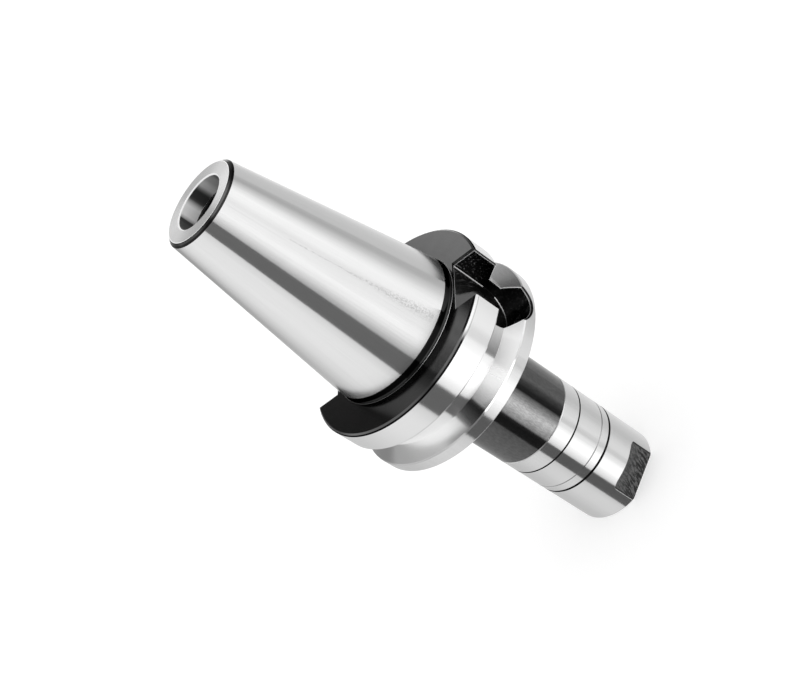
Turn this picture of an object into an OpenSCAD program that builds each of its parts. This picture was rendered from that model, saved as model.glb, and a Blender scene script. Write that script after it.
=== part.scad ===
// Milling arbor with a size 50 steep taper, for side and slitting cutters with a 32 mm bore.
// It stands on the free face of its nut with the taper upward, and its axis is the Z axis.
// X runs through the middle of the two drive slots. All lengths are in millimetres.

/* [Taper shank] */
// Diameter of the taper at its gauge line
gauge_d = 69.85; // [60:0.05:76]
// Length from the gauge line to the small end
taper_len = 101.8; // [80:0.1:120]
// Diameter that the taper loses over taper_run
taper_drop = 7; // [5:0.5:8]
// Length over which the taper loses taper_drop
taper_run = 24; // [22:1:30]
// Chamfer around the small end
small_end_chamfer = 1.5; // [0.5:0.1:3]
// Distance from the gauge line to the rear face of the flange
gauge_gap = 3; // [2:0.5:6]
// Length of ground taper left out next to the gauge line
cone_stop = 0.6; // [0:0.1:2]
// Depth of the neck between the taper and the flange, below the gauge radius
neck_drop = 0.4; // [0.1:0.1:2]
// Fillet between the neck and the flange
neck_fillet = 1.1; // [0.4:0.1:1.6]

/* [Pull stud socket] */
// Diameter of the guiding bore at the small end
stud_bore_d = 25; // [22:0.1:30]
// Depth of the guiding bore
stud_bore_depth = 8; // [6:0.5:25]
// Diameter of the threaded hole behind it, at the thread's crests
stud_thread_d = 21; // [12:0.1:21.5]
// Length of the threaded hole
stud_thread_len = 45; // [20:1:55]
// Chamfer at the mouth of the guiding bore
stud_mouth_chamfer = 0.5; // [0.2:0.1:1.5]

/* [Drive flange] */
// Diameter of the flange
flange_d = 100; // [94:0.5:120]
// Length of the flange along the axis
flange_len = 35; // [33:0.5:45]
// Width of the gripper groove at its mouth
groove_w = 15; // [10:0.5:16]
// Depth of the gripper groove
groove_depth = 7.6; // [3:0.1:8]
// Slope of each groove side, from a plane across the axis
groove_side_angle = 30; // [20:1:35]
// Distance from the rear face of the flange to the middle of the groove
groove_from_rear = 20.9; // [15:0.1:21]
// Chamfer on both edges of the groove's mouth
groove_edge = 0.4; // [0.1:0.1:1]
// Chamfer on the rear edge of the flange
flange_rear_chamfer = 1; // [0.3:0.1:2]
// Chamfer on the front edge of the flange
flange_front_chamfer = 0.8; // [0.3:0.1:2]
// Width of each drive slot
slot_w = 25.7; // [18:0.1:30]
// Distance from the axis to the floor of each drive slot
slot_floor_r = 35.4; // [35:0.1:40]
// Distance from the rear face of the flange to the rounded end of each slot
slot_len = 32.2; // [26:0.1:32.5]
// Chamfer along the outer rim of each slot
slot_rim = 0.8; // [0.2:0.1:1.2]
// Chamfer of each slot's two edges on the rear face of the flange
slot_rear_edge = 1; // [0.2:0.1:1.4]

/* [Shoulder and cutter seat] */
// Diameter of the shoulder, the collars and the nut
nose_d = 46; // [42:0.5:50]
// Length of the shoulder in front of the flange
shoulder_len = 48; // [20:1:80]
// Fillet between the shoulder and the flange
shoulder_fillet = 2; // [0.5:0.1:4]
// Chamfer on the free edge of the shoulder
shoulder_chamfer = 0.4; // [0.1:0.1:1]
// Diameter of the seat that carries the cutter and the collars
seat_d = 32; // [31:0.1:34]
// Chamfer on the free edge of the seat
seat_chamfer = 0.5; // [0.2:0.1:1]
// Distance by which the seat ends short of the nut
seat_setback = 2; // [1:0.5:4]

/* [Threaded end] */
// Diameter over the crests of the arbor's thread
thread_d = 30; // [26:0.5:30.5]
// Pitch of the thread
thread_pitch = 2; // [1.5:0.5:3]
// Diameter of the relief between the seat and the thread
relief_d = 26.5; // [22:0.5:26.5]
// Length of the relief
relief_len = 3; // [2:0.5:5]
// Distance by which the threaded end stays inside the nut
end_setback = 2; // [0.5:0.5:5]
// Chamfer on the threaded end
end_chamfer = 1.5; // [1:0.1:2]
// Diameter of the recess that guards the centre hole
centre_recess_d = 13; // [11:0.5:16]
// Depth of that recess
centre_recess_depth = 0.6; // [0.3:0.1:1.5]
// Diameter of the centre hole at its mouth
centre_d = 9; // [7:0.5:10]
// Diameter of the drilled bottom of the centre hole
centre_drill_d = 3.2; // [2:0.1:4]
// Total depth of the centre hole
centre_depth = 9; // [8:0.5:14]

/* [Collars] */
// Length of the collar against the shoulder
collar_inner_len = 10; // [8:0.5:20]
// Length of the middle collar
collar_middle_len = 15; // [8:0.5:20]
// Length of the collar against the nut
collar_outer_len = 5; // [4:0.5:10]
// Chamfer on the edges of the collars
collar_chamfer = 0.3; // [0.1:0.05:0.6]

/* [Key] */
// Width of the key
key_w = 8; // [6:0.5:10]
// Height of the key
key_h = 7; // [6:0.5:7.5]
// Depth of the keyway in the seat
key_sunk = 4; // [3.5:0.1:5]
// Distance from the shoulder to the key
key_setback = 2; // [1:0.5:3]
// Length of the key
key_len = 23; // [14:0.5:24]
// Chamfer along the top of the key
key_chamfer = 0.4; // [0.2:0.1:0.6]
// Direction of the key around the axis, in degrees from the X axis
key_turn = 0; // [-180:5:180]

/* [Nut] */
// Length of the nut
nut_len = 30; // [26:0.5:40]
// Distance across the two wrench flats
nut_flats = 39; // [38:0.5:40]
// Length of the wrench flats along the axis
flat_len = 15; // [10:0.5:18]
// Fillet where each flat ends
flat_fillet = 3; // [1:0.1:3.4]
// Direction of one flat around the axis, in degrees from the X axis
flat_turn = -35; // [-180:1:180]
// Chamfer on the edge against the outer collar
nut_rear_chamfer = 0.7; // [0.2:0.1:1]
// Chamfer on the free edge
nut_front_chamfer = 0.6; // [0.2:0.1:1.5]
// Chamfer at both mouths of the threaded hole
nut_mouth_chamfer = 1; // [0.5:0.1:2]

/* [Fits] */
// Radial play of the collars on the seat
seat_play = 0.05; // [0.02:0.01:0.1]
// Radial play of the nut on the thread's crests
thread_play = 0.05; // [0.02:0.01:0.1]
// Play on each side of the key in its keyways
key_side_play = 0.03; // [0.01:0.01:0.1]
// Play between the top of the key and the collars
key_top_play = 0.3; // [0.2:0.05:0.5]

/* [Hidden] */
$fn = 96;
// overrun of the cutting shapes beyond the faces that they open
over = 1;
// thickness of the thin patches that a slot rim is spanned between
patch = 0.01;
// faces of a turned patch on the flange, for a smooth slot rim
rim_fn = 180;
// points on a quarter-round fillet
fillet_steps = 8;
// half of a drill point's angle
drill_half_angle = 59;
// half of the centre hole's angle
centre_half_angle = 30;
// half of the thread's angle
thread_half_angle = 30;

gauge_r = gauge_d / 2;
flange_r = flange_d / 2;
nose_r = nose_d / 2;
seat_r = seat_d / 2;
stud_bore_r = stud_bore_d / 2;
stud_thread_r = stud_thread_d / 2;
neck_r = gauge_r - neck_drop;
groove_r = flange_r - groove_depth;
relief_r = relief_d / 2;

// heights of the faces above the free face of the nut
seat_end_z = nut_len + seat_setback;
middle_z = nut_len + collar_outer_len;
inner_z = middle_z + collar_middle_len;
shoulder_z = inner_z + collar_inner_len;
flange_front_z = shoulder_z + shoulder_len;
flange_rear_z = flange_front_z + flange_len;
gauge_z = flange_rear_z + gauge_gap;
small_end_z = gauge_z + taper_len;
cone_start_z = gauge_z + cone_stop;
cone_end_z = small_end_z - small_end_chamfer;
stud_ledge_z = small_end_z - stud_bore_depth;
stud_floor_z = stud_ledge_z - stud_thread_len;
groove_mid_z = flange_rear_z - groove_from_rear;
groove_run = groove_depth * tan(groove_side_angle);
slot_end_z = flange_rear_z - slot_len;
slot_round_z = slot_end_z + slot_w / 2;

// thread
thread_r = thread_d / 2;
thread_crest = thread_pitch / 8;
thread_root = thread_pitch / 4;
thread_flank = (thread_pitch - thread_crest - thread_root) / 2;
thread_root_r = thread_r - thread_flank / tan(thread_half_angle);
thread_start_z = end_setback + end_chamfer;
thread_end_z = seat_end_z - relief_len;
thread_turns = floor((thread_end_z - thread_start_z) / thread_pitch);

// centre hole
centre_cone = (centre_d - centre_drill_d) / 2 / tan(centre_half_angle);
centre_top_z = end_setback + centre_depth;
centre_shoulder_z = centre_top_z - centre_drill_d / 2 / tan(drill_half_angle);
centre_cone_z = end_setback + centre_recess_depth + centre_cone;

// key and keyways
key_floor_r = seat_r - key_sunk;
key_top_r = key_floor_r + key_h;
key_high_z = shoulder_z - key_setback;
key_low_z = key_high_z - key_len;

// radius of the taper at height z
function cone_r(z) = gauge_r - (z - gauge_z) * taper_drop / taper_run / 2;

// points of an arc around [r, z], from one angle to another
function arc(r, z, radius, from, to) =
    [for (i = [0 : fillet_steps])
        let (a = from + (to - from) * i / fillet_steps)
        [r + radius * cos(a), z + radius * sin(a)]];

// centre hole and threaded end, from the axis outward and up to the relief
function thread_points() =
    [for (i = [0 : thread_turns - 1])
        let (z = thread_start_z + i * thread_pitch)
        each [
            [thread_r, z],
            [thread_r, z + thread_crest],
            [thread_root_r, z + thread_crest + thread_flank],
            [thread_root_r, z + thread_crest + thread_flank + thread_root]
        ]];

function end_points() = concat(
    [
        [0, centre_top_z],
        [centre_drill_d / 2, centre_shoulder_z],
        [centre_drill_d / 2, centre_cone_z],
        [centre_d / 2, end_setback + centre_recess_depth],
        [centre_recess_d / 2, end_setback + centre_recess_depth],
        [centre_recess_d / 2, end_setback],
        [thread_r - end_chamfer, end_setback]
    ],
    thread_points(),
    [
        [thread_r, thread_start_z + thread_turns * thread_pitch],
        [thread_r, thread_end_z - (thread_r - relief_r)],
        [relief_r, thread_end_z],
        [relief_r, seat_end_z]
    ]
);

// cutter seat, shoulder and flange
function flange_points() = concat(
    [
        [seat_r - seat_chamfer, seat_end_z],
        [seat_r, seat_end_z + seat_chamfer],
        [seat_r, shoulder_z],
        [nose_r - shoulder_chamfer, shoulder_z],
        [nose_r, shoulder_z + shoulder_chamfer]
    ],
    arc(nose_r + shoulder_fillet, flange_front_z - shoulder_fillet, shoulder_fillet, 180, 90),
    [
        [flange_r - flange_front_chamfer, flange_front_z],
        [flange_r, flange_front_z + flange_front_chamfer],
        [flange_r, groove_mid_z - groove_w / 2 - groove_edge],
        [flange_r - groove_edge, groove_mid_z - groove_w / 2 + groove_edge * tan(groove_side_angle)],
        [groove_r, groove_mid_z - groove_w / 2 + groove_run],
        [groove_r, groove_mid_z + groove_w / 2 - groove_run],
        [flange_r - groove_edge, groove_mid_z + groove_w / 2 - groove_edge * tan(groove_side_angle)],
        [flange_r, groove_mid_z + groove_w / 2 + groove_edge],
        [flange_r, flange_rear_z - flange_rear_chamfer],
        [flange_r - flange_rear_chamfer, flange_rear_z]
    ],
    arc(neck_r + neck_fillet, flange_rear_z + neck_fillet, neck_fillet, 270, 180)
);

// taper and pull stud socket, back to the axis
function taper_points() = [
    [neck_r, cone_start_z],
    [cone_r(cone_start_z), cone_start_z],
    [cone_r(cone_end_z), cone_end_z],
    [cone_r(cone_end_z) - small_end_chamfer, small_end_z],
    [stud_bore_r + stud_mouth_chamfer, small_end_z],
    [stud_bore_r, small_end_z - stud_mouth_chamfer],
    [stud_bore_r, stud_ledge_z],
    [stud_thread_r, stud_ledge_z],
    [stud_thread_r, stud_floor_z],
    [0, stud_floor_z - stud_thread_r / tan(drill_half_angle)]
];

// flat shape that faces +X once raised: 2D x becomes Y, 2D y becomes Z
module raise_toward_x(length) {
    rotate([90, 0, 90])
        linear_extrude(length)
            children();
}

// outline of a drive slot, seen along its depth
module slot_outline(grow) {
    translate([0, slot_round_z])
        circle(r = slot_w / 2 + grow);
    translate([-slot_w / 2 - grow, slot_round_z])
        square([slot_w + 2 * grow, flange_rear_z + over - slot_round_z]);
}

// rear end of a drive slot with both edges chamfered, seen along its depth
module slot_rear_outline() {
    low = flange_rear_z - slot_rear_edge;
    high = flange_rear_z + over;
    wide = slot_w / 2 + slot_rear_edge + over;
    polygon([[-slot_w / 2, low], [slot_w / 2, low], [wide, high], [-wide, high]]);
}

// thin patch of a drive slot's outline, bent to radius r
module slot_patch(r, grow) {
    intersection() {
        raise_toward_x(flange_d)
            slot_outline(grow);
        translate([0, 0, slot_end_z - 2 * slot_rim - over])
            difference() {
                cylinder(h = slot_len + 4 * slot_rim + 3 * over, r = r + patch, $fn = rim_fn);
                translate([0, 0, -over])
                    cylinder(h = slot_len + 4 * slot_rim + 5 * over, r = r, $fn = rim_fn);
            }
    }
}

// drive slot on the +X side, with its chamfered rim and rear edges
module slot_cut() {
    translate([slot_floor_r, 0, 0])
        raise_toward_x(flange_r) {
            slot_outline(0);
            slot_rear_outline();
        }
    hull() {
        slot_patch(flange_r - slot_rim, 0);
        slot_patch(flange_r + over, slot_rim + over);
    }
}

// outline of the key, seen along its height
module key_outline(grow) {
    translate([0, key_low_z + key_w / 2])
        circle(d = key_w + 2 * grow);
    translate([0, key_high_z - key_w / 2])
        circle(d = key_w + 2 * grow);
    translate([-key_w / 2 - grow, key_low_z + key_w / 2])
        square([key_w + 2 * grow, key_len - key_w]);
}

module arbor() {
    color("darkgray")
        difference() {
            rotate_extrude()
                polygon(concat(end_points(), flange_points(), taper_points()));
            for (turn = [0, 180])
                rotate([0, 0, turn])
                    slot_cut();
            rotate([0, 0, key_turn])
                translate([key_floor_r, 0, 0])
                    raise_toward_x(key_sunk + over)
                        key_outline(key_side_play);
        }
}

module key() {
    color("gray")
        rotate([0, 0, key_turn])
            translate([key_floor_r, 0, 0]) {
                raise_toward_x(key_h - key_chamfer)
                    key_outline(0);
                translate([key_h - key_chamfer, 0, 0])
                    raise_toward_x(key_chamfer)
                        key_outline(-key_chamfer);
            }
}

// collar that stands on height z, with a keyway in its bore
module collar(z, length) {
    bore_r = seat_r + seat_play;
    slot_width = key_w + 2 * key_side_play;
    difference() {
        translate([0, 0, z])
            rotate_extrude()
                polygon([
                    [bore_r + collar_chamfer, 0],
                    [nose_r - collar_chamfer, 0],
                    [nose_r, collar_chamfer],
                    [nose_r, length - collar_chamfer],
                    [nose_r - collar_chamfer, length],
                    [bore_r + collar_chamfer, length],
                    [bore_r, length - collar_chamfer],
                    [bore_r, collar_chamfer]
                ]);
        rotate([0, 0, key_turn])
            translate([0, -slot_width / 2, z - over])
                cube([key_top_r + key_top_play, slot_width, length + 2 * over]);
    }
}

module collar_inner() {
    color("silver")
        collar(inner_z, collar_inner_len);
}

module collar_middle() {
    color("silver")
        collar(middle_z, collar_middle_len);
}

module collar_outer() {
    color("silver")
        collar(nut_len, collar_outer_len);
}

// stock outside one wrench flat on the +X side, rounded where the flat ends
module flat_cut() {
    flat_x = nut_flats / 2;
    translate([0, nose_r, 0])
        rotate([90, 0, 0])
            linear_extrude(nose_d) {
                translate([flat_x, -over])
                    square([nose_r, flat_len - flat_fillet + over]);
                translate([flat_x + flat_fillet, -over])
                    square([nose_r, flat_len + over]);
                translate([flat_x + flat_fillet, flat_len - flat_fillet])
                    circle(r = flat_fillet);
            }
}

module arbor_nut() {
    hole_r = thread_r + thread_play;
    color("silver")
        difference() {
            rotate_extrude()
                polygon([
                    [hole_r + nut_mouth_chamfer, 0],
                    [nose_r - nut_front_chamfer, 0],
                    [nose_r, nut_front_chamfer],
                    [nose_r, nut_len - nut_rear_chamfer],
                    [nose_r - nut_rear_chamfer, nut_len],
                    [hole_r + nut_mouth_chamfer, nut_len],
                    [hole_r, nut_len - nut_mouth_chamfer],
                    [hole_r, nut_mouth_chamfer]
                ]);
            for (turn = [0, 180])
                rotate([0, 0, flat_turn + turn])
                    flat_cut();
        }
}

arbor();
key();
collar_inner();
collar_middle();
collar_outer();
arbor_nut();
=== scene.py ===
"""Looks of a steep-taper milling arbor: ground and blackened steel on a white floor."""
import math

import bpy
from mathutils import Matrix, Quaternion, Vector


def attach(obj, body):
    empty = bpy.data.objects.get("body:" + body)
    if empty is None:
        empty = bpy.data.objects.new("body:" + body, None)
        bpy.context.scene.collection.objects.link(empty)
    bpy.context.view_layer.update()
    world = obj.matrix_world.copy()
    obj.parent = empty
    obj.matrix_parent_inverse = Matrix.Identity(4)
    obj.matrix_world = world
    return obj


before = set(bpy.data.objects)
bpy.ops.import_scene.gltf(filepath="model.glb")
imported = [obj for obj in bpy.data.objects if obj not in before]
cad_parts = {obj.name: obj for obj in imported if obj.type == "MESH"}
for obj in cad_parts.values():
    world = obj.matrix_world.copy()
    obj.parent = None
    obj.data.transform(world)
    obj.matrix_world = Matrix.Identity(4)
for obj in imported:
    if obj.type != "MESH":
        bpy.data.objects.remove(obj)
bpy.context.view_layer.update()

MM = 0.001

# Places on the CAD model that the materials follow, in mm: heights above the nut's free face,
# radii from the axis, and half widths. A mask reaches EDGE past the face that it ends on.
EDGE = 0.02
NUT_HIGH = 30.0
MIDDLE_LOW = 35.0
INNER_LOW = 50.0
SHOULDER_LOW = 60.0
FLANGE_LOW = 108.0
FLANGE_HIGH = 143.0
FLANGE_R = 50.0
NECK_HIGH = 147.0
CONE_HIGH = 246.3
SMALL_END = 247.8
SMALL_END_R = 18.8
NOSE_R = 23.0
SLOT_LOW = 110.0
SLOT_ROUND_Z = 123.65
SLOT_HALF = 12.85
SLOT_FLOOR = 35.4
SLOT_RIM_R = 49.2
SLOT_REAR_Z = 142.0
GROOVE_LOW = 114.2
GROOVE_HIGH = 130.0
GROOVE_MID = 122.1
GROOVE_FLOOR_R = 42.4
GROOVE_FLOOR_HALF = 3.1
GROOVE_SIDE = math.radians(30.0)
GROOVE_CHAMFER = 0.4
HOLE_LOW = 150.0
BORE_LOW = 239.8
BORE_HIGH = 247.3
BORE_R = 12.5
FLAT_HIGH = 15.0
FLAT_DEPTH = 19.5
FLAT_HALF = 12.19
FLAT_TURN = math.radians(-35.0)


class Graph:
    """Short calls that add nodes to one node tree."""

    def __init__(self, tree):
        self.tree = tree
        tree.nodes.clear()

    def add(self, kind, **settings):
        node = self.tree.nodes.new(kind)
        for name, value in settings.items():
            setattr(node, name, value)
        return node

    def feed(self, socket, value):
        """Links a socket or sets a plain value."""
        if isinstance(value, bpy.types.NodeSocket):
            self.tree.links.new(value, socket)
        else:
            socket.default_value = value

    def fill(self, node, *values):
        """Feeds a node's first inputs in turn, and gives its first output."""
        for socket, value in zip(node.inputs, values):
            self.feed(socket, value)
        return node.outputs[0]

    def math(self, operation, a, b=0.0):
        return self.fill(self.add("ShaderNodeMath", operation=operation), a, b)

    def plus(self, a, b):
        return self.math("ADD", a, b)

    def minus(self, a, b):
        return self.math("SUBTRACT", a, b)

    def times(self, a, b):
        return self.math("MULTIPLY", a, b)

    def most(self, a, b):
        return self.math("MAXIMUM", a, b)

    def least(self, a, b):
        return self.math("MINIMUM", a, b)

    def size(self, value):
        return self.math("ABSOLUTE", value)

    def degrees(self, value):
        return self.times(value, 180 / math.pi)

    def above(self, value, limit):
        return self.math("GREATER_THAN", value, limit)

    def below(self, value, limit):
        return self.math("LESS_THAN", value, limit)

    def within(self, value, low, high):
        return self.times(self.above(value, low), self.below(value, high))

    def without(self, mask):
        return self.minus(1.0, mask)

    def all_of(self, mask, *others):
        for other in others:
            mask = self.times(mask, other)
        return mask

    def any_of(self, mask, *others):
        for other in others:
            mask = self.most(mask, other)
        return mask

    def ramp(self, value, low, high, start=0.0, end=1.0, smooth=True):
        """Value mapped from low..high to start..end, and held beyond."""
        node = self.add("ShaderNodeMapRange", clamp=True)
        node.interpolation_type = "SMOOTHSTEP" if smooth else "LINEAR"
        return self.fill(node, value, low, high, start, end)

    def blend(self, share, a, b):
        """a where share is 0, b where it is 1."""
        node = self.add("ShaderNodeMix", data_type="FLOAT")
        self.feed(node.inputs[0], share)
        self.feed(node.inputs[2], a)
        self.feed(node.inputs[3], b)
        return node.outputs[0]

    def layers(self, value, pairs):
        """Value, covered in turn by each pair's second item where its first, a mask, is 1."""
        for mask, item in pairs:
            value = self.blend(mask, value, item)
        return value

    def vector(self, x, y, z):
        return self.fill(self.add("ShaderNodeCombineXYZ"), x, y, z)

    def split(self, vector):
        node = self.add("ShaderNodeSeparateXYZ")
        self.feed(node.inputs[0], vector)
        return node.outputs

    def grow(self, vector, scale):
        node = self.add("ShaderNodeVectorMath", operation="SCALE")
        self.feed(node.inputs[0], vector)
        self.feed(node.inputs["Scale"], scale)
        return node.outputs[0]

    def grey(self, value):
        return self.fill(self.add("ShaderNodeCombineColor"), value, value, value)

    def noise(self, vector, scale, detail=2.0, rough=0.5):
        node = self.add("ShaderNodeTexNoise", noise_dimensions="3D")
        self.feed(node.inputs["Vector"], vector)
        node.inputs["Scale"].default_value = scale
        node.inputs["Detail"].default_value = detail
        node.inputs["Roughness"].default_value = rough
        return node.outputs[0]

    def curve(self, turn, points):
        """Height at a turn of -180 to 180 degrees, from a table of (turn, height) points."""
        node = self.add("ShaderNodeFloatCurve")
        self.feed(node.inputs["Value"], self.ramp(turn, -180, 180, smooth=False))
        node.mapping.use_clip = False
        line = node.mapping.curves[0]
        while len(line.points) < len(points):
            line.points.new(0.5, 0.5)
        for point, (place, height) in zip(line.points, points):
            point.location = (place + 180) / 360, height
            point.handle_type = "VECTOR"
        node.mapping.update()
        return node.outputs[0]


class Steel(Graph):
    """A metal material that knows where a point lies on the model, in mm."""

    DRAWN_GLOSS = 1.0
    QUARTER_TURN = 0.25

    def __init__(self, name):
        self.material = bpy.data.materials.new(name)
        self.material.use_nodes = True
        super().__init__(self.material.node_tree)
        self.place = self.grow(self.add("ShaderNodeTexCoord").outputs["Object"], 1 / MM)
        self.x, self.y, self.z = self.split(self.place)
        length = self.add("ShaderNodeVectorMath", operation="LENGTH")
        self.feed(length.inputs[0], self.vector(self.x, self.y, 0.0))
        self.r = length.outputs["Value"]

    def at(self, low, high):
        """Mask of the heights between low and high."""
        return self.within(self.z, low, high)

    def turn(self):
        """Direction around the axis, in degrees from +X."""
        return self.degrees(self.math("ARCTAN2", self.y, self.x))

    def around(self, points):
        """Value looked up by the direction around the axis."""
        return self.curve(self.turn(), points)

    def turned(self, scale, drift):
        """Noise drawn out around the axis, as a tool or wheel leaves it."""
        along = self.times(self.plus(self.z, self.r), scale)
        spot = self.vector(self.times(self.x, drift), self.times(self.y, drift), along)
        return self.noise(spot, 1.0, 3.0, 0.6)

    def drawn(self, scale, drift):
        """Noise drawn out along the axis, as handling and wiping leave it."""
        flat = self.add("ShaderNodeVectorMath", operation="NORMALIZE")
        outward = self.fill(flat, self.vector(self.x, self.y, 0.0))
        upward = self.vector(0.0, 0.0, self.times(self.z, drift))
        both = self.add("ShaderNodeVectorMath", operation="ADD")
        return self.noise(self.fill(both, self.grow(outward, scale), upward), 1.0, 4.0, 0.6)

    def finish(self, base, roughness, height, edge_shine=None, metal=1.0):
        """Metal whose gloss is drawn out across the turning marks; height is its bump in mm."""
        shader = self.add("ShaderNodeBsdfPrincipled")
        shader.inputs["Anisotropic"].default_value = self.DRAWN_GLOSS
        shader.inputs["Anisotropic Rotation"].default_value = self.QUARTER_TURN
        self.feed(shader.inputs["Metallic"], metal)
        self.feed(shader.inputs["Base Color"], self.grey(base))
        self.feed(shader.inputs["Roughness"], roughness)
        if edge_shine is not None:
            self.feed(shader.inputs["Specular Tint"], self.grey(edge_shine))
        around = self.add("ShaderNodeTangent", direction_type="RADIAL", axis="Z")
        self.feed(shader.inputs["Tangent"], around.outputs[0])
        bump = self.add("ShaderNodeBump")
        bump.inputs["Distance"].default_value = MM
        self.feed(bump.inputs["Height"], height)
        self.feed(shader.inputs["Normal"], bump.outputs[0])
        out = self.add("ShaderNodeOutputMaterial")
        self.feed(out.inputs["Surface"], shader.outputs[0])
        return self.material


GROUND_TONE = 0.71
OXIDE_TONE = 0.13
WHEEL_MARK = 0.0015
OXIDE_GRAIN = 0.004


def bright_look(g):
    """Base, roughness and bump of ground steel, with faint handling and wheel marks."""
    cloud = g.noise(g.place, 0.055, 4.0, 0.6)
    lines = g.turned(5.2, 0.06)
    wiped = g.drawn(42.0, 0.03)
    streaks = g.times(g.minus(g.drawn(150.0, 0.014), 0.5), 0.07)
    marks = g.plus(g.plus(cloud, lines), g.times(wiped, 2.2))
    base = g.plus(g.plus(GROUND_TONE, g.times(marks, 0.04)), streaks)
    roughness = g.plus(0.12, g.times(g.plus(cloud, wiped), 0.04))
    return base, roughness, g.times(lines, WHEEL_MARK)


def black_look(g):
    """Base, roughness and bump of black oxide: satin, a little cloudy, with faint turning marks."""
    cloud = g.noise(g.place, 0.14, 5.0, 0.65)
    lines = g.turned(2.6, 0.025)
    grain = g.noise(g.place, 1.9)
    shift = g.plus(g.times(cloud, 0.3), g.times(lines, 0.3))
    base = g.times(OXIDE_TONE, g.plus(0.7, shift))
    roughness = g.plus(0.11, g.times(cloud, 0.07))
    return base, roughness, g.times(grain, OXIDE_GRAIN)


# where and how deep the painted reflection of a dark line lies along the cone
REFLECTED_LINE_LOW, REFLECTED_LINE_HIGH = 149.0, 217.0
REFLECTED_LINE_TURN = -36.2
REFLECTED_LINE_SLANT = 0.077
REFLECTED_LINE_DEPTH = 0.26


def painted_reflected_line(g):
    """Tone of a painted reflection: a dotted dark line along the cone, which widens into a speckled
    patch by the flange.
    """
    path = g.plus(REFLECTED_LINE_TURN, g.times(g.minus(REFLECTED_LINE_HIGH, g.z), REFLECTED_LINE_SLANT))
    off = g.size(g.minus(g.turn(), path))
    width = g.ramp(g.z, 200.0, 150.0, 0.9, 6.5)
    dots = g.ramp(g.noise(g.place, 1.7, 2.0, 0.6), 0.42, 0.62)
    share = g.all_of(g.ramp(off, width, 0.0), dots, g.at(REFLECTED_LINE_LOW, REFLECTED_LINE_HIGH))
    return g.minus(1.0, g.times(share, REFLECTED_LINE_DEPTH))


# Tones of the arbor's features by direction around the axis, as (degrees from +X, tone).
# The shoulder's multiply its oxide with a painted reflection: a painted highlight band along one side
# and a painted dark strip beside it.
SHOULDER_REFLECTION_TONES = [
    (-180, 1.0), (-100, 1.0), (-80, 0.8), (-68, 0.55), (-64, 1.1), (-61.5, 1.95), (-57, 2.2),
    (-53, 2.6), (-48, 2.8), (-43, 2.3), (-38, 1.45), (-34.4, 1.2), (-32.8, 0.14), (-30, 0.12),
    (-27.5, 0.13), (-24, 0.3), (-21, 0.4), (-18.5, 0.7), (-15.5, 1.0), (180, 1.0)]
# the groove's floor and front flank with painted reflections, the flank's satin share, and the painted
# highlight on the line at its mouth
FLOOR_REFLECTION_TONES = [
    (-180, 0.95), (-36, 0.95), (-35, 0.28), (-28, 0.4), (-23, 0.55), (-18, 0.68), (0, 0.8),
    (180, 0.95)]
FLANK_REFLECTION_TONES = [
    (-180, 1.0), (-72.5, 1.0), (-71, 0.5), (-68, 0.33), (-64, 0.1), (-61.3, 0.1), (-60.5, 0.42),
    (-53, 0.57), (-48, 0.78), (-43, 1.0), (180, 1.0)]
SATIN_FLANK = [(-180, 0.0), (-50, 0.0), (-38, 1.0), (-12, 1.0), (-8, 0.0), (180, 0.0)]
MOUTH_HIGHLIGHT_TONES = [(-180, 0.65), (-95, 0.65), (-75, 1.0), (0, 1.0), (60, 0.65), (180, 0.65)]
# a painted highlight ring at the neck's foot, and the share of the rear edge that has a painted
# highlight
FOOT_HIGHLIGHT_TONES = [(-180, 0.25), (-80, 0.25), (-55, 0.9), (0, 0.9), (40, 0.25), (180, 0.25)]
EDGE_HIGHLIGHT_SHARE = [(-180, 0.0), (-40, 0.0), (-34, 1.0), (-10, 1.0), (-4, 0.0), (180, 0.0)]
# painted reflection bands on the socket's bored wall
SOCKET_REFLECTION_BANDS = [
    (-180, 0.09), (-160, 0.08), (-140, 0.2), (-100, 0.6), (-60, 0.25), (-20, 0.5), (20, 0.35),
    (49, 0.08), (57, 0.15), (65, 0.26), (80, 0.33), (90, 0.5), (98, 0.5), (105, 0.17),
    (110, 0.03), (124, 0.02), (129, 0.06), (137, 0.7), (142, 1.0), (162, 1.0), (169, 0.5),
    (172, 0.05), (180, 0.07)]

# the painted highlight strip's reach either side of where the slots' edges are broken, and the specks'
# start
HIGHLIGHT_STRIP = (-0.3, 0.1)
SPECK_LOW, SPECK_HIGH = 126.0, 129.0


def slot_places(g):
    """Masks of the drive slots: the whole, the walls, the broken edges and a painted highlight strip
    by them.
    """
    side = g.size(g.y)
    down = g.most(g.minus(SLOT_ROUND_Z, g.z), 0.0)
    span = g.math("SQRT", g.plus(g.times(side, side), g.times(down, down)))
    lip = g.most(g.minus(g.r, SLOT_RIM_R), g.minus(g.z, SLOT_REAR_Z))
    flare = g.most(lip, 0.0)
    depth = g.minus(g.size(g.x), SLOT_FLOOR)
    slot = g.all_of(g.below(g.minus(span, flare), SLOT_HALF + 2 * EDGE),
                    g.at(SLOT_LOW - EDGE, FLANGE_HIGH - EDGE), g.above(depth, -2 * EDGE))
    wall = g.times(slot, g.above(depth, 2 * EDGE))
    broken = g.times(slot, g.above(flare, EDGE))
    slot_edge_highlight = g.times(slot, g.within(lip, *HIGHLIGHT_STRIP))
    return slot, wall, broken, slot_edge_highlight


def slot_wall_tone(g, pebble):
    """Dark, with light specks on the part behind the groove."""
    strength = g.ramp(g.z, SPECK_LOW, SPECK_HIGH, 0.05, 0.5)
    return g.plus(0.02, g.times(g.ramp(pebble, 0.57, 0.68), strength))


# heights at which the bands of the flange's rear edge end, and their tones
LAND_TOP = 141.55
RIM_LINE_TOP = 142.33
CHAMFER_TOP = 142.6
SHADE_LINE_R = 48.45
LAND_TONE = 0.92
BLACK_LINE = 0.01
DARK_EDGE = 0.22
EDGE_HIGHLIGHT_TONE = 0.95


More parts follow.
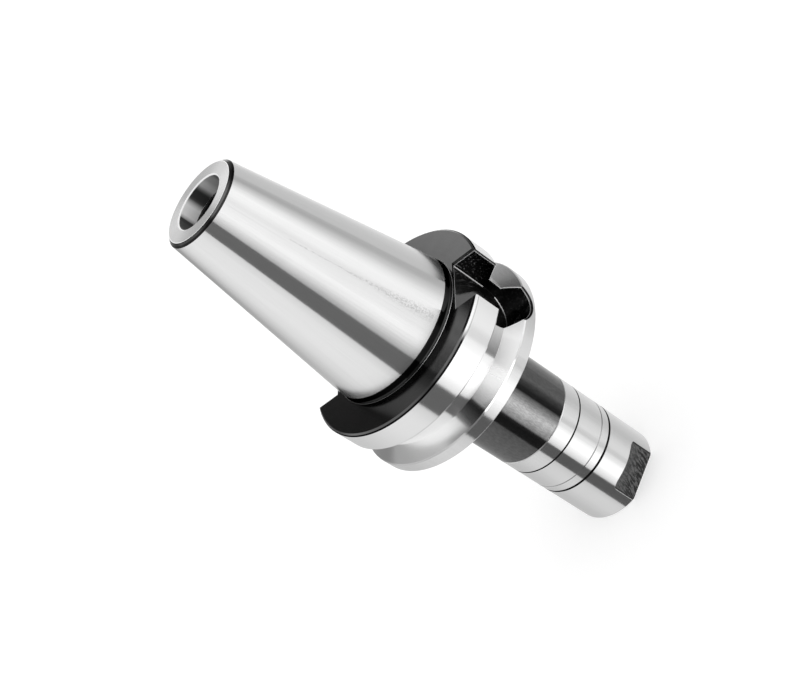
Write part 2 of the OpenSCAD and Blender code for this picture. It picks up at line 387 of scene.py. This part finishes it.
def rear_edge(g, skirt):
    """Tones of the flange's land and rear edge, and a mask of the lines there that don't shine.

    The edge is blackened like the rim of the land beside it, and has a painted highlight in one
    stretch, with a painted shade line beside it.
    """
    painted_reflection = g.around(EDGE_HIGHLIGHT_SHARE)
    land = g.times(g.at(GROOVE_HIGH + EDGE, LAND_TOP), g.above(g.r, FLANGE_R - 0.1))
    beside = g.times(g.at(LAND_TOP - 0.35, LAND_TOP), skirt)
    rim_line = g.times(g.at(LAND_TOP, RIM_LINE_TOP), skirt)
    chamfer = g.times(g.at(RIM_LINE_TOP, CHAMFER_TOP), skirt)
    inner_line = g.times(g.at(CHAMFER_TOP, FLANGE_HIGH - EDGE), skirt)
    shade_line = g.all_of(g.above(g.z, CHAMFER_TOP), g.above(g.r, SHADE_LINE_R), painted_reflection, skirt)
    tones = [(land, LAND_TONE), (inner_line, DARK_EDGE), (shade_line, BLACK_LINE),
             (chamfer, g.blend(painted_reflection, DARK_EDGE, EDGE_HIGHLIGHT_TONE)),
             (rim_line, g.blend(painted_reflection, BLACK_LINE, EDGE_HIGHLIGHT_TONE)),
             (beside, g.blend(painted_reflection, LAND_TONE, 0.6))]
    return tones, g.most(g.times(rim_line, g.without(painted_reflection)), shade_line)


# where the groove's mouth line ends, and how far the painted highlight strip reaches either side of
# its edge
MOUTH_TOP = 114.8
GROOVE_HIGHLIGHT_REACH = (-0.1, 0.4)


def groove_places(g, skirt):
    """Masks of the groove, its front flank, and that flank's mouth line and satin stretch."""
    deep = g.above(g.r, GROOVE_FLOOR_R - GROOVE_CHAMFER)
    groove = g.all_of(g.at(GROOVE_LOW, GROOVE_HIGH), deep, skirt)
    flank = g.times(groove, g.below(g.z, GROOVE_MID - GROOVE_FLOOR_HALF))
    mouth = g.times(groove, g.below(g.z, MOUTH_TOP))
    satin = g.all_of(flank, g.above(g.z, MOUTH_TOP), g.around(SATIN_FLANK))
    return groove, flank, mouth, satin


def painted_groove_highlight(g, wall):
    """Mask of a painted highlight strip on the slots' walls along the edge that the groove cuts into
    them.
    """
    opening = g.times(g.most(g.minus(g.r, GROOVE_FLOOR_R), 0.0), math.tan(GROOVE_SIDE))
    beyond = g.minus(g.minus(g.size(g.minus(g.z, GROOVE_MID)), GROOVE_FLOOR_HALF), opening)
    beyond = g.most(beyond, g.minus(GROOVE_FLOOR_R, g.r))
    return g.times(wall, g.within(beyond, *GROOVE_HIGHLIGHT_REACH))


# height plus radius on the small end's chamfer, and how far oxide laps over the next face
RING_SUM = SMALL_END + SMALL_END_R - 0.08
# radii of the painted highlight ring at the neck's foot
FOOT_HIGHLIGHT_RADII = (35.2, 35.5)
RELIEF_R = 36.0
OXIDE_LAP = 0.45


def arbor_steel():
    """Ground steel with black oxide on the small end's ring, neck, rear face, slots and nose."""
    g = Steel("ground_and_blackened_steel")
    slot, wall, broken, slot_edge_highlight = slot_places(g)
    skirt = g.without(slot)

    # small end's ring, neck and its foot, rear face, front face, shoulder
    ring = g.times(g.above(g.plus(g.z, g.r), RING_SUM), g.above(g.z, CONE_HIGH + EDGE))
    ring_foot = g.times(ring, g.below(g.z, CONE_HIGH + 0.7))
    neck = g.at(FLANGE_HIGH - OXIDE_LAP, NECK_HIGH)
    relief = g.times(g.at(FLANGE_HIGH + 0.05, NECK_HIGH), g.below(g.r, RELIEF_R))
    # painted highlight ring at the neck's foot
    foot = g.times(g.at(FLANGE_HIGH - EDGE, FLANGE_HIGH + 0.3), g.within(g.r, *FOOT_HIGHLIGHT_RADII))
    rear_face = g.times(g.at(FLANGE_HIGH - EDGE, FLANGE_HIGH + EDGE), skirt)
    front = g.times(g.at(SHOULDER_LOW + EDGE, FLANGE_LOW + EDGE),
                    g.within(g.r, NOSE_R - OXIDE_LAP, SLOT_RIM_R))
    black = g.any_of(ring, neck, front, slot)
    shoulder = g.times(g.at(SHOULDER_LOW + 0.4, FLANGE_LOW - 1.0), g.below(g.r, NOSE_R + 0.2))
    groove, flank, mouth, satin = groove_places(g, skirt)
    groove_edge = painted_groove_highlight(g, wall)
    edge_tones, dull_lines = rear_edge(g, skirt)

    # socket: broken edges with a painted highlight, bored wall with painted reflection bands, and
    # painted shade on the ledge and hole behind it
    rim = g.times(g.above(g.z, BORE_HIGH + EDGE), g.below(g.r, BORE_R + 0.52))
    rim = g.most(rim, g.times(g.above(g.z, SMALL_END - EDGE), g.above(g.r, SMALL_END_R - 0.3)))
    bore = g.times(g.at(BORE_LOW + EDGE, BORE_HIGH), g.below(g.r, BORE_R + 0.1))
    shaded_hole = g.times(g.at(HOLE_LOW, BORE_LOW + EDGE), g.below(g.r, BORE_R - 0.05))

    bright_base, bright_rough, bright_bump = bright_look(g)
    black_base, black_rough, black_bump = black_look(g)
    pebble = g.noise(g.place, 1.1)
    base = g.blend(black, g.times(bright_base, painted_reflected_line(g)), black_base)
    base = g.blend(relief, base, 0.04)
    base = g.times(base, g.blend(rear_face, 1.0, 0.78))
    # painted reflection on the shoulder, a bright band and a dark strip by turn, with faint wiping
    # streaks
    painted_reflection = g.times(g.around(SHOULDER_REFLECTION_TONES), g.ramp(g.drawn(34.0, 0.42), 0.3, 0.7, 0.84, 1.16))
    base = g.blend(shoulder, base, g.times(base, painted_reflection))
    # painted reflections, highlights and shade in these layers: groove and mouth, slot and groove
    # edges, rear edge, neck's foot, socket rim, socket bands and hole
    base = g.layers(base, [
        (groove, g.blend(flank, g.around(FLOOR_REFLECTION_TONES), g.around(FLANK_REFLECTION_TONES))),
        (mouth, g.around(MOUTH_HIGHLIGHT_TONES)), (wall, slot_wall_tone(g, pebble)),
        (groove_edge, 0.9), (broken, 0.05), (slot_edge_highlight, 0.8), *edge_tones,
        (foot, g.around(FOOT_HIGHLIGHT_TONES)), (ring_foot, 0.04), (rim, 1.0),
        (bore, g.around(SOCKET_REFLECTION_BANDS)), (shaded_hole, 0.02)])
    rough = g.layers(g.blend(black, bright_rough, black_rough), [
        (rear_face, 0.1), (relief, 0.08), (bore, 0.5), (shaded_hole, 0.5), (rim, 0.5),
        (groove_edge, 0.7), (slot_edge_highlight, 0.7), (foot, 0.5), (satin, 0.3)])
    height = g.blend(black, bright_bump, black_bump)
    height = g.blend(wall, height, g.times(pebble, 0.12))
    dull = g.any_of(dull_lines, relief, broken, shaded_hole)
    plain = g.any_of(bore, rim, groove_edge, g.times(satin, 0.6))
    return g.finish(base, rough, height, g.without(dull), g.without(plain))


# tone of a seam that shows as a black line, and how wide such a seam and a tighter one show
OPEN_SEAM = 0.02
OPEN_REACH, TIGHT_REACH = 0.45, 0.31


def collar_steel(name, low_seam, high_seam):
    """Ground steel; each seam is (height of the collar's end, tone of its chamfer)."""
    g = Steel(name)
    base, roughness, height = bright_look(g)
    rim = g.above(g.r, NOSE_R - 0.32)
    seams = 0.0
    for end, tone in (low_seam, high_seam):
        reach = OPEN_REACH if tone == OPEN_SEAM else TIGHT_REACH
        seam = g.times(g.below(g.size(g.minus(g.z, end)), reach), rim)
        base = g.blend(seam, base, tone)
        if tone == OPEN_SEAM:
            seams = g.most(seams, seam)
    return g.finish(base, roughness, height, g.without(seams))


MILLED_TONE = 0.17
SMEAR_AND_SHADE_TONE = 0.015
NUT_EDGE_HIGHLIGHT = 0.45


def nut_steel():
    """Ground steel with milled wrench flats."""
    g = Steel("ground_nut_steel")
    turn_x, turn_y = math.cos(FLAT_TURN), math.sin(FLAT_TURN)
    depth = g.size(g.plus(g.times(g.x, turn_x), g.times(g.y, turn_y)))
    along = g.minus(g.times(g.y, turn_x), g.times(g.x, turn_y))
    flat = g.all_of(g.at(EDGE, FLAT_HIGH + EDGE), g.below(g.r, NOSE_R - 0.03),
                    g.above(depth, FLAT_DEPTH - EDGE))
    rim = g.times(g.above(g.z, NUT_HIGH - 0.85), g.above(g.r, NOSE_R - 0.72))
    base, rough, height = bright_look(g)
    base = g.blend(rim, base, OPEN_SEAM)

    # milled flats: slanting streaks with oily smears, painted shade along their borders and a painted
    # highlight on the broken edge
    slant = g.minus(along, g.times(g.z, 0.42))
    streak = g.noise(g.vector(g.times(slant, 3.4), 0.0, g.times(g.z, 0.5)), 1.0, 3.0, 0.6)
    smear = g.noise(g.vector(g.times(slant, 0.8), 7.0, g.times(g.z, 0.23)), 1.0, 5.0, 0.65)
    oily = g.times(g.ramp(smear, 0.44, 0.55), g.ramp(g.z, 13.0, 4.0, 0.3, 1.0))
    inset = g.least(g.minus(FLAT_HIGH, g.z), g.minus(FLAT_HALF, g.size(along)))
    border_shade = g.ramp(inset, 1.5, 0.5)
    grain = g.noise(g.place, 2.6, 2.0, 0.6)
    tone = g.times(g.ramp(streak, 0.3, 0.7, 0.5, 1.3), g.ramp(grain, 0.3, 0.7, 0.7, 1.2))
    smear_and_shade = g.most(g.times(oily, 0.85), g.times(border_shade, 0.8))
    tone = g.blend(smear_and_shade, g.times(tone, MILLED_TONE), SMEAR_AND_SHADE_TONE)
    tone = g.blend(g.below(inset, 0.25), tone, NUT_EDGE_HIGHLIGHT)
    base = g.blend(flat, base, tone)
    rough = g.blend(flat, rough, g.plus(0.34, g.times(streak, 0.12)))
    return g.finish(base, rough, g.blend(flat, height, g.times(streak, 0.02)), g.without(rim))


def key_steel():
    """Milled steel, with fine cutter marks across the key."""
    g = Steel("milled_key_steel")
    marks = g.noise(g.vector(g.times(g.z, 5.0), g.times(g.y, 0.4), 0.0), 1.0, 3.0, 0.6)
    base = g.plus(0.4, g.times(marks, 0.1))
    return g.finish(base, g.plus(0.22, g.times(marks, 0.1)), g.times(marks, 0.004))


CORNER_SHADE = (117.5, 124.4)


def slot_corner_steel():
    """Bright edge along the foot of the slots' walls, dimmer toward its low end, with painted shade
    where the groove crosses it.
    """
    g = Steel("slot_corner_steel")
    tone = g.plus(0.45, g.times(g.noise(g.place, 0.3), 0.6))
    tone = g.times(tone, g.ramp(g.z, 111.5, 114.0, 0.25, 1.0))
    shaded = g.at(*CORNER_SHADE)
    tone = g.blend(shaded, tone, BLACK_LINE)
    return g.finish(tone, 0.3, g.times(g.turned(0.9, 0.06), 0.002), g.without(shaded))


CORNER = 0.4
CORNER_TOP = 141.9
CORNER_STEPS = 6
ROUND_STEPS = 48


def slot_foot():
    """Foot of a slot's wall as (y, z, wall's outward y, wall's outward z), from rear to rear."""
    foot = [(SLOT_HALF, CORNER_TOP, 1.0, 0.0), (SLOT_HALF, SLOT_ROUND_Z, 1.0, 0.0)]
    for step in range(1, ROUND_STEPS):
        turn = math.pi * step / ROUND_STEPS
        out_y, out_z = math.cos(turn), -math.sin(turn)
        foot.append((SLOT_HALF * out_y, SLOT_ROUND_Z + SLOT_HALF * out_z, out_y, out_z))
    return foot + [(-SLOT_HALF, SLOT_ROUND_Z, -1.0, 0.0), (-SLOT_HALF, CORNER_TOP, -1.0, 0.0)]


def slot_corner_mesh():
    """Concave strip of radius CORNER along the foot of both drive slots' walls."""
    foot = slot_foot()
    row = CORNER_STEPS + 1
    points, faces = [], []
    for side in (1, -1):
        first = len(points)
        for y, z, out_y, out_z in foot:
            for step in range(row):
                turn = math.pi / 2 * step / CORNER_STEPS
                inward = CORNER * (1 - math.cos(turn))
                x = SLOT_FLOOR + CORNER * (1 - math.sin(turn))
                spot = side * x, side * (y - out_y * inward), z - out_z * inward
                points.append([length * MM for length in spot])
        for start in range(first, first + (len(foot) - 1) * row, row):
            for a in range(start, start + CORNER_STEPS):
                faces.append((a, a + 1, a + row + 1, a + row))
    mesh = bpy.data.meshes.new("slot_corners")
    mesh.from_pydata(points, [], faces)
    mesh.polygons.foreach_set("use_smooth", [True] * len(faces))
    return mesh


def add_object(name, data):
    item = bpy.data.objects.new(name, data)
    bpy.context.scene.collection.objects.link(item)
    return item


def add_slot_corners():
    corners = add_object("slot_corners", slot_corner_mesh())
    corners.data.materials.append(slot_corner_steel())
    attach(corners, "arbor")


def dress(node, material):
    """Puts a material on a CAD node."""
    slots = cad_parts[node].material_slots
    if not slots:
        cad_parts[node].data.materials.append(material)
    for item in slots:
        item.link = "OBJECT"
        item.material = material


add_slot_corners()
dress("arbor", arbor_steel())
dress("key", key_steel())
dress("collar_inner", collar_steel("collar_inner_steel", (INNER_LOW, OPEN_SEAM), (SHOULDER_LOW, 0.95)))
dress("collar_middle", collar_steel("collar_middle_steel", (MIDDLE_LOW, 0.75), (INNER_LOW, OPEN_SEAM)))
dress("collar_outer", collar_steel("collar_outer_steel", (NUT_HIGH, OPEN_SEAM), (MIDDLE_LOW, 0.5)))
dress("arbor_nut", nut_steel())


VIEW_AZIMUTH = math.radians(36.8)
VIEW_ELEVATION = math.radians(30.25)
VIEW_ROLL = math.radians(-56.79)
VIEW_DISTANCE = 0.6327
AIM = Vector((-0.00016, -0.00024, 0.13576))
LENS = 65.64
SENSOR = 36.0
NEAREST, FARTHEST = 0.01, 50.0


def photo_side():
    """Direction from the object to the photo's camera."""
    level = math.cos(VIEW_ELEVATION)
    return Vector((math.sin(VIEW_AZIMUTH) * level, -math.cos(VIEW_AZIMUTH) * level,
                   math.sin(VIEW_ELEVATION)))


def make_camera():
    data = bpy.data.cameras.new("camera")
    data.lens = LENS
    data.sensor_width = SENSOR
    data.clip_start, data.clip_end = NEAREST, FARTHEST
    camera = add_object("camera", data)
    bpy.context.scene.camera = camera
    back = photo_side()
    camera.rotation_mode = "QUATERNION"
    camera.rotation_quaternion = (-back).to_track_quat("-Z", "Y") @ Quaternion((0, 0, 1), VIEW_ROLL)
    camera.location = AIM + back * VIEW_DISTANCE


# The studio as polished metal sees it. Each table gives brightness by direction around the upright
# axis, in degrees from the photo's side, at one height; LEVELS has the angles above the horizon
# over which one table gives way to the next. It stands still when the camera moves.
LOW = [
    (-180, 0.7), (-170, 0.74), (-155, 0.62), (-140, 0.6), (-120, 0.64), (-100, 0.72), (-85, 0.78),
    (-65, 0.78), (-50, 0.68), (-47, 0.6), (-19, 0.85), (-17, 0.95), (-10, 1.12), (0, 1.35),
    (10, 1.4), (20, 1.25), (25, 1.05), (32.5, 0.97), (34, 0.88), (35.5, 0.71), (44, 0.715),
    (47.5, 0.85), (52, 0.88), (68, 0.82), (84, 0.67), (100, 0.62), (115, 0.69), (130, 0.76),
    (145, 0.82), (160, 0.9), (172, 0.9), (180, 0.78)]
MID = [
    (-180, 0.8), (-170, 0.5), (-160, 0.34), (-150, 0.36), (-140, 0.5), (-130, 0.68), (-110, 0.93),
    (-90, 1.03), (-60, 1.02), (-49, 0.88), (-46, 0.8), (-19, 0.3), (-16, 0.37), (-10, 0.58),
    (0, 0.92), (10, 1.12), (20, 1.03), (30, 1.0), (40, 0.98), (50, 1.15), (62, 1.19), (72, 0.99),
    (80, 0.775), (84, 0.7), (88, 0.63), (91, 0.52), (93, 0.49), (98, 0.56), (112, 0.66),
    (130, 0.68), (144, 0.72), (156, 0.86), (170, 1.02), (180, 1.05)]
RISE = [
    (-180, 0.75), (-175, 0.7), (-165, 0.35), (-150, 0.22), (-140, 0.22), (-127, 0.7), (-90, 0.75),
    (-46, 0.75), (-17, 0.9), (0, 1.15), (40, 1.15), (60, 1.2), (72, 1.1), (80, 0.85), (88, 0.4),
    (127, 0.12), (140, 0.2), (152, 0.25), (162, 0.85), (174, 0.82), (180, 0.82)]
SIDE = [
    (-180, 0.06), (-165, 0.08), (-139, 0.3), (-110, 0.45), (-47, 0.4), (-19, 0.4), (-17, 2.0),
    (36, 2.0), (42, 0.2), (90, 0.12), (127, 0.06), (152, 0.12), (163, 1.4), (176, 1.4),
    (180, 0.06)]
TOP = [
    (-180, 0.06), (-165, 0.1), (-139, 0.33), (-97, 0.5), (-63, 0.5), (-31, 0.15), (0, 0.13),
    (32, 0.5), (48, 1.15), (78, 1.15), (97, 0.6), (112, 0.12), (127, 0.06), (152, 0.12),
    (163, 1.4), (176, 1.4), (180, 0.06)]
ZENITH = [
    (-180, 0.9), (-140, 0.85), (-122, 0.7), (-108, 0.15), (-35, 0.1), (-15, 0.8), (0, 1.0),
    (60, 1.1), (120, 1.2), (180, 0.9)]
LEVELS = [(MID, -27.5, -17.0), (RISE, -8.0, 4.0), (SIDE, 22.0, 27.0), (TOP, 33.0, 41.0),
          (ZENITH, 54.0, 62.0)]
PLAIN_LIGHT = 1.0
BACKDROP = 1.0

# The dark strip's sharp edges by turn. Below STRIP_BEND both lean outward by so many degrees a
# degree, and between there and STRIP_UPRIGHT the end moves in a little.
STRIP_BEND, STRIP_UPRIGHT = -30.0, -15.0
STRIP_START, START_LEAN = -45.3, 0.55
STRIP_END_LOW, STRIP_END, END_LEAN = -19.4, -18.0, 0.33
STRIP_FADE = (33.0, 41.0)
STRIP_TONE_LOW, STRIP_TONE = 0.1, 0.155


def dark_strip(g, turn, rise):
    """Share of an upright dark strip beside the photo's side."""
    dip = g.most(g.minus(STRIP_BEND, rise), 0.0)
    start = g.minus(STRIP_START, g.times(dip, START_LEAN))
    end = g.ramp(rise, STRIP_BEND, STRIP_UPRIGHT, STRIP_END_LOW, STRIP_END, smooth=False)
    strip = g.within(turn, start, g.minus(end, g.times(dip, END_LEAN)))
    return g.times(strip, g.ramp(rise, *STRIP_FADE, 1.0, 0.0))


def make_world():
    """Soft light that metal sees as the studio, everything matt as plain, the camera as white."""
    world = bpy.data.worlds.new("studio")
    bpy.context.scene.world = world
    world.use_nodes = True
    g = Graph(world.node_tree)
    x, y, z = g.split(g.add("ShaderNodeTexCoord").outputs["Generated"])
    side_x, side_y = math.sin(VIEW_AZIMUTH), -math.cos(VIEW_AZIMUTH)
    ahead = g.plus(g.times(x, side_x), g.times(y, side_y))
    aside = g.minus(g.times(y, side_x), g.times(x, side_y))
    turn = g.degrees(g.math("ARCTAN2", aside, ahead))
    rise = g.degrees(g.math("ARCSINE", z))
    light = g.curve(turn, LOW)
    for table, low, high in LEVELS:
        light = g.blend(g.ramp(rise, low, high), light, g.curve(turn, table))
    strip_tone = g.ramp(rise, -38.0, -20.0, STRIP_TONE_LOW, STRIP_TONE)
    light = g.blend(dark_strip(g, turn, rise), light, strip_tone)
    path = g.add("ShaderNodeLightPath")
    light = g.blend(path.outputs["Is Glossy Ray"], PLAIN_LIGHT, light)
    light = g.blend(path.outputs["Is Camera Ray"], light, BACKDROP)
    shade = g.add("ShaderNodeBackground")
    g.feed(shade.inputs["Color"], g.grey(light))
    out = g.add("ShaderNodeOutputWorld")
    g.feed(out.inputs["Surface"], shade.outputs[0])


FLOOR_SIZE = 12.0
FLOOR_DROP = 0.0002
FLOOR_ALBEDO = 0.72
FLOOR_GLOW = 0.4


def floor_white():
    """Matt white that glows a little to the camera alone, so that only the shadow shows on it."""
    material = bpy.data.materials.new("white_floor")
    material.use_nodes = True
    g = Graph(material.node_tree)
    matt = g.add("ShaderNodeBsdfDiffuse")
    matt.inputs["Color"].default_value = (FLOOR_ALBEDO, FLOOR_ALBEDO, FLOOR_ALBEDO, 1.0)
    glow = g.add("ShaderNodeEmission")
    path = g.add("ShaderNodeLightPath")
    g.feed(glow.inputs["Strength"], g.times(path.outputs["Is Camera Ray"], FLOOR_GLOW))
    both = g.fill(g.add("ShaderNodeAddShader"), matt.outputs[0], glow.outputs[0])
    out = g.add("ShaderNodeOutputMaterial")
    g.feed(out.inputs["Surface"], both)
    return material


def make_floor():
    half = FLOOR_SIZE / 2
    mesh = bpy.data.meshes.new("floor")
    corners = [(-half, -half, 0), (half, -half, 0), (half, half, 0), (-half, half, 0)]
    mesh.from_pydata(corners, [], [(0, 1, 2, 3)])
    mesh.materials.append(floor_white())
    floor = add_object("floor", mesh)
    floor.location.z = -FLOOR_DROP
    floor.visible_glossy = False


make_camera()
make_world()
make_floor()
bpy.context.scene.view_settings.view_transform = "Standard"
